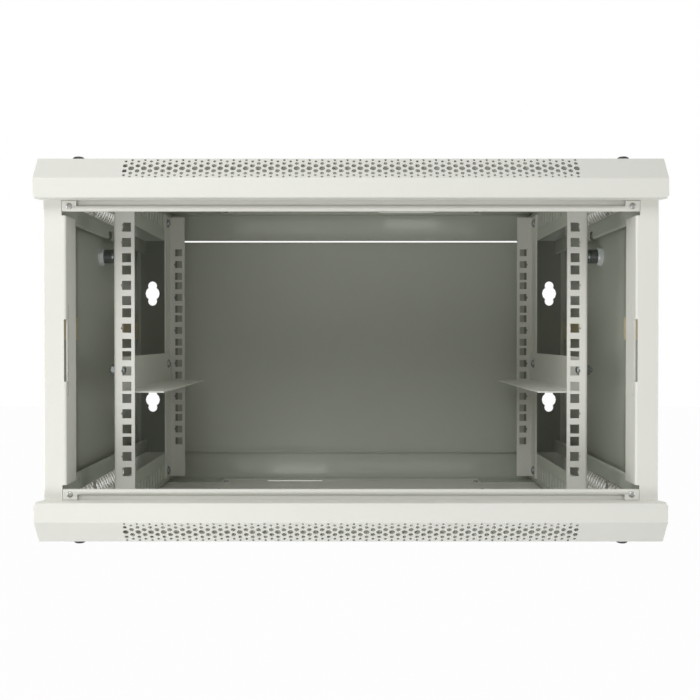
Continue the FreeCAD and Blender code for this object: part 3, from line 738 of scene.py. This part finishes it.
def vent_cutter(sizes):
    """All cylinders that cut the vents of the top cover's chamfer and skirts."""
    low = Vector((0, FRONT, SKIRT_EDGE + sizes.face_height))
    high = Vector((0, FRONT + sizes.chamfer_depth, HALF_HEIGHT))
    slope = (high - low).normalized()
    normal = Vector((1, 0, 0)).cross(slope)
    middle = (low + high) / 2
    skirt_middle = Vector((0, FRONT / 2, (SKIRT_EDGE + HALF_HEIGHT) / 2))
    across = COVER_HIGH.x - COVER_LOW.x + 4 * SHEET
    rows = []
    for row in range(-4, 5):
        offset, diameter = VENT_ROWS[abs(row)]
        offset = math.copysign(offset, row)
        radius = diameter / 2
        shift = sizes.pitch / 4 if row % 2 == 0 else -sizes.pitch / 4
        centre = middle + slope * offset + Vector((shift, 0, 0))
        rows.append(vent_row(sizes, radius, centre, normal, (1, 0, 0), sizes.columns, 6 * SHEET))
        for group in (-sizes.skirt_group, sizes.skirt_group):
            centre = skirt_middle + Vector((0, group + shift, offset))
            rows.append(vent_row(sizes, radius * sizes.skirt_scale, centre, (1, 0, 0), (0, 1, 0),
                                 sizes.skirt_columns, across))
    return joined("cutter", rows)


class CABINET_OT_covers(bpy.types.Operator):
    """Cut the graded vents into the chamfers and skirts of both covers"""

    bl_idname = "cabinet.covers"
    bl_label = "Vent the covers"
    bl_options = {"REGISTER", "UNDO"}

    def execute(self, context):
        top = cad_copy("top_cover", "vented_top_cover")
        plain = len(top.data.polygons)
        top = merged(combine(top, vent_cutter(context.scene.cabinet_covers), "DIFFERENCE"))
        check(len(top.data.polygons) > plain, "the vents were not cut")
        smooth(top)
        bottom = copied(top, "vented_bottom_cover", Matrix.Rotation(math.pi, 4, "Y"))
        for cover, node in ((top, "top_cover"), (bottom, "bottom_cover")):
            dressed(cover, "cover_powder_coat", "cabinet", "cover_paint", node)
        return {"FINISHED"}


class CABINET_OT_crossbars(bpy.types.Operator):
    """Lean the front lip of both crossbars back towards their web"""

    bl_idname = "cabinet.crossbars"
    bl_label = "Front crossbars"
    bl_options = {"REGISTER", "UNDO"}

    def execute(self, context):
        for end in ("top", "bottom"):
            node = "front_crossbar_" + end
            low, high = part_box(node)
            edge_z = min(abs(low.z), abs(high.z)) + LIP_HEIGHT
            rear_y = low.y + 1.3 * SHEET
            crossbar = cad_copy(node, "leaned_crossbar_" + end)
            for side in (-1, 1):
                edit_all(crossbar)
                bpy.ops.mesh.bisect(plane_co=(side * LIP_END, 0, 0), plane_no=(1, 0, 0))
                close_edit()
            edit_where(crossbar, lambda co: (co.y < rear_y and abs(co.x) < LIP_END + NEAR
                                             and abs(abs(co.z) - edge_z) < 2 * NEAR))
            bpy.ops.transform.translate(value=(0, LIP_LEAN, 0))
            close_edit()
            dressed(smooth(crossbar), "cover_powder_coat", "cabinet", "cover_paint", node)
        return {"FINISHED"}


class CABINET_OT_beams(bpy.types.Operator):
    """Press the lower lip of the slotted beams back to their web"""

    bl_idname = "cabinet.beams"
    bl_label = "Slotted beams"
    bl_options = {"REGISTER", "UNDO"}

    def execute(self, context):
        for end in ("top", "bottom"):
            for side, out in (("left", -1), ("right", 1)):
                node = "side_beam_" + end + "_" + side
                low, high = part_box(node)
                web_x = low.x if out > 0 else high.x
                lip_z = low.z if end == "top" else high.z
                beam = cad_copy(node, "slotted_beam_" + end + "_" + side)
                edit_where(beam, lambda co: (co.x - web_x) * out > SHEET and abs(co.z - lip_z) < 3 * SHEET)
                bpy.ops.transform.resize(value=(0, 1, 1), center_override=(web_x + out * SHEET, 0, 0))
                close_edit()
                dressed(smooth(merged(beam)), "inner_coat_and_painted_shade", "cabinet", "inner_paint", node)
        return {"FINISHED"}


class CABINET_OT_rear_panel(bpy.types.Operator):
    """Let the lower fold of the rear panel down onto the strip under it"""

    bl_idname = "cabinet.rear_panel"
    bl_label = "Rear panel"
    bl_options = {"REGISTER", "UNDO"}

    def execute(self, context):
        panel = cad_copy("rear_panel", "seated_rear_panel")
        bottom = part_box("rear_panel")[0].z
        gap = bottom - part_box("rear_strip_bottom")[1].z
        edit_where(panel, lambda co: co.z < bottom + REAR_FOLD)
        bpy.ops.transform.translate(value=(0, 0, REAR_GAP - gap))
        close_edit()
        dressed(smooth(panel), "inner_coat_and_painted_shade", "cabinet", "inner_paint", "rear_panel")
        return {"FINISHED"}


def pan_head(radius, height, washer_radius=0.0, washer=0.0, shank=0.0, shank_length=0.0):
    """Domed head with a cross recess, a washer under it and a plain shank; the seat is at height 0."""
    profile = [(0, 0)]
    if shank:
        profile = [(0, -shank_length), (shank * TIP_RADIUS, -shank_length),
                   (shank, -shank_length + shank * TIP_LENGTH), (shank, 0)]
    if washer:
        profile += [(washer_radius, 0), (washer_radius, washer), (radius, washer)]
    else:
        profile += [(radius, 0)]
    rise = height - washer
    profile += [(radius * share, washer + rise * up) for share, up in DOME]
    item = spun("head", profile, 28)
    blades = []
    for turn in (0, math.pi / 2):
        deselect()
        bpy.ops.mesh.primitive_cube_add(size=1, location=(0, 0, height - rise * RECESS_PLACE))
        blade = added("blade")
        blade.scale = (radius * RECESS_LENGTH, radius * RECESS_WIDTH, rise * RECESS_DEPTH)
        blade.rotation_euler = (0, 0, turn)
        apply_place(blade)
        blades.append(blade)
    cross = combine(blades[0], blades[1], "UNION")
    return smooth(combine(item, cross, "DIFFERENCE"), 40)


def hex_nut(flats, height, bore, washer_radius, washer, chamfer=0.10):
    """Chamfered nut on a washer with a bore; the seat is at height 0."""
    corner = flats / math.sqrt(3)
    reach = corner * 1.1
    rim = flats / 2 * NUT_RIM
    base = washer - 0.001
    deselect()
    bpy.ops.mesh.primitive_cylinder_add(vertices=6, radius=corner, depth=height - washer,
                                        location=(0, 0, (height + washer) / 2))
    nut = added("nut")
    apply_place(nut)
    lens = spun("lens", [(bore, base), (reach, base), (reach, height - flats * chamfer), (rim, height),
                         (bore + BORE_CHAMFER, height), (bore, height - BORE_CHAMFER)], 36)
    nut = merged(combine(nut, lens, "INTERSECT"), 1e-5)
    clear = bore + WASHER_PLAY
    ring = spun("ring", [(clear, 0), (washer_radius, 0), (washer_radius, washer * 0.9),
                         (washer_radius - washer * 0.1, washer), (clear, washer)], 36)
    return smooth(joined("nut", [nut, ring]), 30)


class CABINET_OT_cover_screws(bpy.types.Operator):
    """Put domed cross head screws on both covers and the cable plates"""

    bl_idname = "cabinet.cover_screws"
    bl_label = "Cover screws"
    bl_options = {"REGISTER", "UNDO"}

    def execute(self, context):
        for end, side in (("top", 1), ("bottom", -1)):
            node = "cover_screws_" + end
            places = seats(solid_boxes(node), lambda low, high, middle: (
                (middle.x, middle.y, side * HALF_HEIGHT), (0, 0, side)), turn=0.4, step=1.3)
            reach = abs(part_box(node)[1 if side > 0 else 0].z) - HALF_HEIGHT
            template = pan_head(COVER_HEAD_RADIUS, reach - COVER_HEAD_DROP, shank=COVER_SHANK_RADIUS,
                                shank_length=COVER_SHANK)
            screws = put_copies("domed_" + node, template, places)
            dressed(screws, "blackened_screw", "cabinet", "zinc_plate", node)
            node = "cable_plate_screws_" + end
            boxes = solid_boxes(node)
            places = seats(boxes, lambda low, high, middle: (
                (middle.x, middle.y, high.z if side > 0 else low.z), (0, 0, -side)), turn=0.2, step=0.9)
            template = pan_head(PLATE_HEAD_RADIUS, boxes[-1][1].z - boxes[-1][0].z)
            screws = put_copies("domed_" + node, template, places)
            dressed(screws, "zinc_plated_steel", "cabinet", "zinc_plate", node)
        return {"FINISHED"}


def bolt_seat(low, high, middle):
    """Under the head of a bolt that points outwards."""
    if middle.x < 0:
        return (high.x - BOLT_HEAD_HEIGHT, middle.y, middle.z), (1, 0, 0)
    return (low.x + BOLT_HEAD_HEIGHT, middle.y, middle.z), (-1, 0, 0)


def nut_seat(low, high, middle):
    """Inner end of a nut on a bolt that points outwards."""
    if middle.x < 0:
        return (high.x, middle.y, middle.z), (-1, 0, 0)
    return (low.x, middle.y, middle.z), (1, 0, 0)


class CABINET_OT_rail_fasteners(bpy.types.Operator):
    """Put bolts, washers and nuts on the rack rails and the supports"""

    bl_idname = "cabinet.rail_fasteners"
    bl_label = "Rail and support fasteners"
    bl_options = {"REGISTER", "UNDO"}

    def execute(self, context):
        for group in ("rail", "support"):
            node = group + "_bolts"
            boxes = solid_boxes(node)
            length = boxes[-1][1].x - boxes[-1][0].x - BOLT_HEAD_HEIGHT
            template = pan_head(BOLT_HEAD_RADIUS, BOLT_HEAD_HEIGHT, BOLT_WASHER_RADIUS, BOLT_WASHER,
                                BOLT_RADIUS, length)
            places = seats(boxes, bolt_seat, turn=0.3, step=1.1)
            bolts = put_copies("cross_head_" + node, template, places)
            dressed(bolts, "zinc_plated_steel", "cabinet", "zinc_plate", node)
            node = group + "_nuts"
            boxes = solid_boxes(node)
            height = boxes[-1][1].x - boxes[-1][0].x if group == "rail" else SUPPORT_NUT_HEIGHT
            template = hex_nut(NUT_FLATS, height, NUT_BORE, NUT_WASHER_RADIUS, NUT_WASHER)
            places = seats(boxes, nut_seat, turn=0.15, step=0.7)
            nuts = put_copies("washer_and_" + node, template, places)
            dressed(nuts, "zinc_plated_steel", "cabinet", "zinc_plate", node)
        return {"FINISHED"}


class CABINET_OT_rivets(bpy.types.Operator):
    """Put blind rivets in the ears of the crossbars"""

    bl_idname = "cabinet.rivets"
    bl_label = "Frame rivets"
    bl_options = {"REGISTER", "UNDO"}

    def execute(self, context):
        template = smooth(spun("rivet", RIVET, 28), 40)
        places = seats(solid_boxes("frame_rivets"),
                       lambda low, high, middle: ((middle.x, low.y + RIVET_SEAT, middle.z), (0, 1, 0)))
        dressed(put_copies("blind_rivets", template, places), "rivet_aluminium", "cabinet", "zinc_plate",
                "frame_rivets")
        return {"FINISHED"}


def barrel_profile(length):
    """Round head, threaded body and bore of a lock barrel; the outer face is at height 0."""
    profile = list(BARREL_HEAD)
    height = LOCK_HEAD + THREAD_START
    while height < length - THREAD_END:
        profile += [(radius, height + rise) for radius, rise in THREAD_TURN]
        height += THREAD_PITCH
    return profile + [(radius, length + rise) for radius, rise in BARREL_END]


class CABINET_OT_locks(bpy.types.Operator):
    """Dress the threaded lock barrels and their nuts"""

    bl_idname = "cabinet.locks"
    bl_label = "Side panel locks"
    bl_options = {"REGISTER", "UNDO"}

    def execute(self, context):
        for side, out in (("left", -1), ("right", 1)):
            body = side + "_panel"
            inwards = (-out, 0, 0)
            low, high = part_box("lock_barrel_" + side)
            middle = (low + high) / 2
            outer_x = low.x if out < 0 else high.x
            barrel = smooth(spun("barrel", barrel_profile(high.x - low.x), 40), 40)
            barrel = put_copies("threaded_barrel_" + side, barrel,
                                [(Vector((outer_x, middle.y, middle.z)), inwards, 0.0)])
            dressed(barrel, "lock_chrome", body, "lock_chrome", "lock_barrel_" + side)
            # The threaded faces get the darker copy of the chrome as painted shade; the head keeps the chrome
            barrel.data.materials.append(bpy.data.materials["lock_thread_painted_shade"])
            for face in barrel.data.polygons:
                face.material_index = 1 if abs(face.center.x - outer_x) > LOCK_HEAD + 2 * NEAR else 0

            low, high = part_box("lock_nut_" + side)
            seat_x = low.x if out < 0 else high.x
            nut = hex_nut(LOCK_NUT_FLATS, high.x - low.x, LOCK_NUT_BORE, LOCK_WASHER_RADIUS, LOCK_WASHER,
                          chamfer=0.20)
            nut = put_copies("chamfered_nut_" + side, nut,
                             [(Vector((seat_x, middle.y, middle.z)), inwards, 0.26)])
            # The nut's near-white plating is a painted highlight
            dressed(nut, "nut_plating_painted_highlight", body, "lock_nut_metal", "lock_nut_" + side)
        return {"FINISHED"}


# Studio

def seen_directly(tree):
    """Light path value that is 1 for camera, glossy and transmission rays."""
    path = tree.nodes.new("ShaderNodeLightPath")
    first = math_node(tree, "MAXIMUM", path.outputs["Is Camera Ray"], path.outputs["Is Glossy Ray"])
    return math_node(tree, "MAXIMUM", first, path.outputs["Is Transmission Ray"])


def make_floor(place, white):
    """Pale matt floor that shows nearly white and keeps a faint shadow."""
    deselect()
    bpy.ops.mesh.primitive_plane_add(size=30, location=place)
    floor = added("studio_floor")
    apply_place(floor)
    material = bpy.data.materials.new("pale_floor")
    material.use_nodes = True
    tree = material.node_tree
    shader = tree.nodes["Principled BSDF"]
    shader.inputs["Base Color"].default_value = (0.86, 0.86, 0.86, 1)
    shader.inputs["Roughness"].default_value = 0.9
    glow = add_node(tree, "ShaderNodeEmission", in_Strength=1.0)
    mix = tree.nodes.new("ShaderNodeMixShader")
    tree.links.new(math_node(tree, "MULTIPLY", seen_directly(tree), white), mix.inputs[0])
    tree.links.new(shader.outputs[0], mix.inputs[1])
    tree.links.new(glow.outputs[0], mix.inputs[2])
    tree.links.new(mix.outputs[0], tree.nodes["Material Output"].inputs["Surface"])
    floor.data.materials.append(material)


def make_world(scene, strength):
    """Even light from all round, white where it is seen directly."""
    world = bpy.data.worlds.new("even_sky")
    scene.world = world
    world.use_nodes = True
    tree = world.node_tree
    background = tree.nodes["Background"]
    background.inputs["Color"].default_value = (1.0, 1.0, 1.0, 1)
    level = math_node(tree, "MULTIPLY", seen_directly(tree), 1.0 - strength)
    tree.links.new(math_node(tree, "ADD", level, strength), background.inputs["Strength"])


def make_lamp(name, place, target, size, power):
    """Square area lamp that faces a target."""
    deselect()
    bpy.ops.object.light_add(type="AREA", location=place)
    lamp = added(name)
    lamp.data.size = size
    lamp.data.energy = power
    lamp.rotation_euler = (Vector(target) - Vector(place)).to_track_quat("-Z", "Y").to_euler()


def make_camera(scene, sizes):
    """Camera at the photograph's place and angle."""
    deselect()
    bpy.ops.object.camera_add(location=(0, FRONT - sizes.camera_distance, sizes.camera_height),
                              rotation=(math.pi / 2 - sizes.pitch, 0, sizes.yaw))
    camera = added("photo_camera")
    camera.data.lens = sizes.lens
    camera.data.sensor_width = 36.0
    camera.data.clip_start = 0.01
    camera.data.clip_end = 100.0
    scene.camera = camera


class CABINET_OT_stage(bpy.types.Operator):
    """Make the floor, the even sky, the lamps and the camera"""

    bl_idname = "cabinet.stage"
    bl_label = "Studio"
    bl_options = {"REGISTER", "UNDO"}

    def execute(self, context):
        scene = context.scene
        sizes = scene.cabinet_studio
        make_floor((0, 0, CAD_LOW.z - sizes.floor_drop), sizes.floor_white)
        make_world(scene, sizes.sky)
        front_y = FRONT - sizes.lamp_distance
        side_y = FRONT - sizes.side_advance
        for name, up, power in (("upper_softbox", 1, sizes.upper_power),
                                ("lower_softbox", -1, sizes.lower_power)):
            make_lamp(name, (sizes.lamp_side, front_y, up * sizes.lamp_height), (0, FRONT, 0),
                      sizes.lamp_size, power)
        for name, out, power in (("left_softbox", -1, sizes.left_power),
                                 ("right_softbox", 1, sizes.right_power)):
            make_lamp(name, (out * sizes.side_distance, side_y, 0), (out * CAD_HIGH.x, FRONT / 2, 0),
                      sizes.lamp_size, power)
        make_camera(scene, sizes)
        check(scene.camera is not None, "the scene has no camera")
        scene.view_settings.view_transform = "Standard"
        return {"FINISHED"}


class CABINET_PT_panel(bpy.types.Panel):
    """Sizes, colours and steps of the cabinet's dressing"""

    bl_idname = "CABINET_PT_panel"
    bl_label = "Cabinet"
    bl_space_type = "VIEW_3D"
    bl_region_type = "UI"
    bl_category = "Cabinet"

    def draw(self, context):
        for name, group in GROUPS.items():
            box = self.layout.box()
            for value in group.__annotations__:
                box.prop(getattr(context.scene, name), value)
        column = self.layout.column()
        for step in STEPS:
            column.operator(step.bl_idname)


GROUPS = {"cabinet_covers": CoverSizes, "cabinet_colours": FinishColours, "cabinet_studio": StudioSizes}
STEPS = [CABINET_OT_stage, CABINET_OT_materials, CABINET_OT_carried_nodes, CABINET_OT_covers,
         CABINET_OT_crossbars, CABINET_OT_beams, CABINET_OT_rear_panel, CABINET_OT_cover_screws,
         CABINET_OT_rail_fasteners, CABINET_OT_rivets, CABINET_OT_locks]


def register():
    """Register the settings, the operators and the panel."""
    for name, group in GROUPS.items():
        bpy.utils.register_class(group)
        setattr(bpy.types.Scene, name, PointerProperty(type=group))
    for step in STEPS:
        bpy.utils.register_class(step)
    bpy.utils.register_class(CABINET_PT_panel)


def unregister():
    """Undo what register does, in reverse."""
    bpy.utils.unregister_class(CABINET_PT_panel)
    for step in reversed(STEPS):
        bpy.utils.unregister_class(step)
    for name, group in reversed(GROUPS.items()):
        delattr(bpy.types.Scene, name)
        bpy.utils.unregister_class(group)


def main():
    """Dress the cabinet step by step."""
    register()
    bpy.ops.cabinet.stage()
    bpy.ops.cabinet.materials()
    bpy.ops.cabinet.carried_nodes()
    bpy.ops.cabinet.covers()
    bpy.ops.cabinet.crossbars()
    bpy.ops.cabinet.beams()
    bpy.ops.cabinet.rear_panel()
    bpy.ops.cabinet.cover_screws()
    bpy.ops.cabinet.rail_fasteners()
    bpy.ops.cabinet.rivets()
    bpy.ops.cabinet.locks()


if __name__ == "__main__":
    main()
